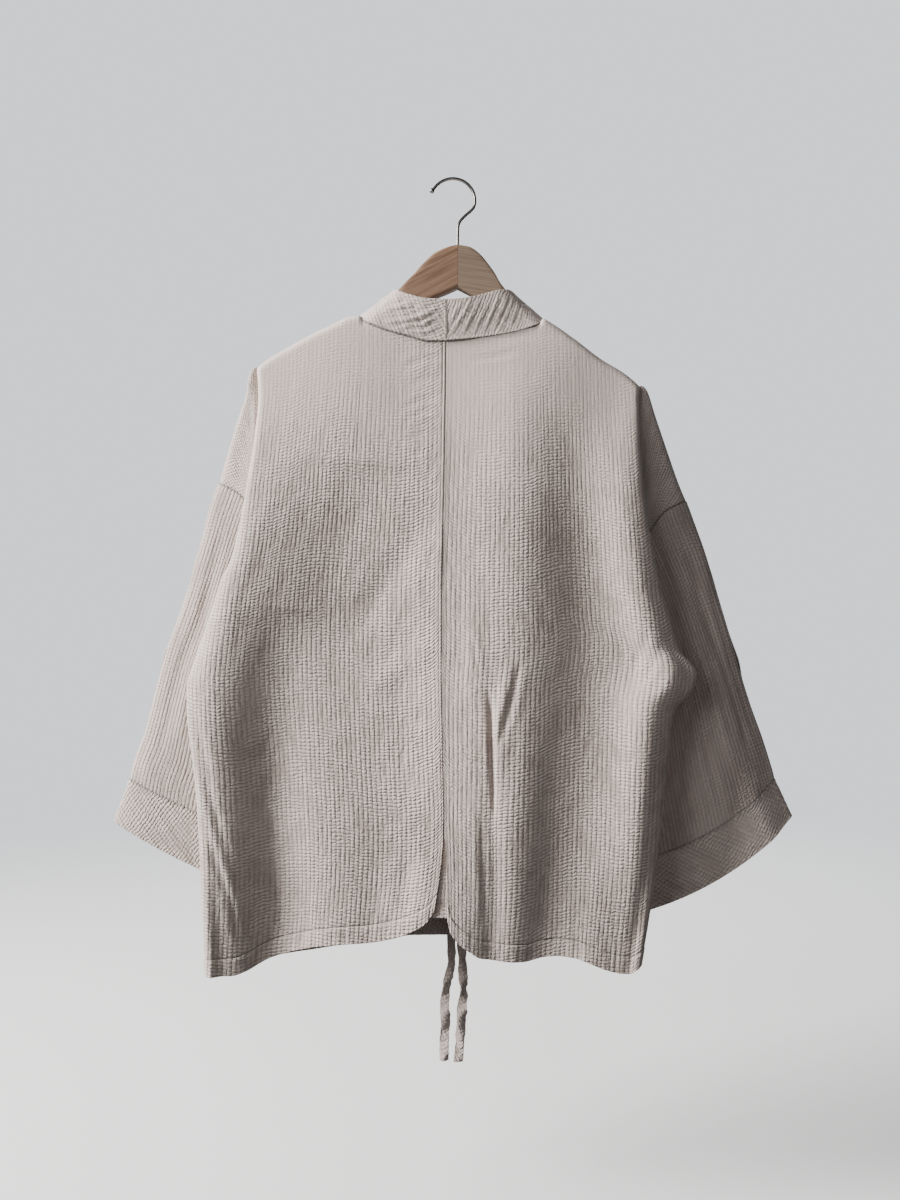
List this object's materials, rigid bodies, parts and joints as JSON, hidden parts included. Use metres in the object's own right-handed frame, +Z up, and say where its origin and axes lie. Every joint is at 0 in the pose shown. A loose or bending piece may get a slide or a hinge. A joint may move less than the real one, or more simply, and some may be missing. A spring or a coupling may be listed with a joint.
{
  "type": "kimono jacket on a wooden coat hanger",
  "caption": "Wide-sleeved kimono jacket in crinkled double gauze with a stand neckband, back vent and front ties, hanging on a wooden hanger.",
  "frame": {"origin": "inside of the hook's top, in the middle of the wire's thickness, where the hook bears on what holds it", "axes": "+Z up, +X to the right of the view of the jacket's back, +Y from the back towards the front of the jacket"},
  "size_m": [0.7737, 0.0849, 0.9995],
  "materials": {
    "gauze": "oatmeal cotton double gauze, crinkled, matt",
    "beech_warm": "beech, clear satin varnish",
    "beech_pale": "beech, clear satin varnish, paler piece",
    "steel": "bent steel wire, dull"
  },
  "bodies": {
    "root": {"back_left": "gauze", "back_right": "gauze", "front_left": "gauze", "front_right": "gauze", "sleeve_left_back": "gauze", "sleeve_left_front": "gauze", "sleeve_right_back": "gauze", "sleeve_right_front": "gauze", "cuff_left": "gauze", "cuff_right": "gauze", "neckband_left": "gauze", "neckband_right": "gauze", "vent_strip": "gauze", "tie_left": "gauze", "tie_right": "gauze", "hanger_left": "beech_warm", "hanger_right": "beech_pale", "hook_wire": "steel", "hook_ball": "steel"}
  },
  "joints": []
}
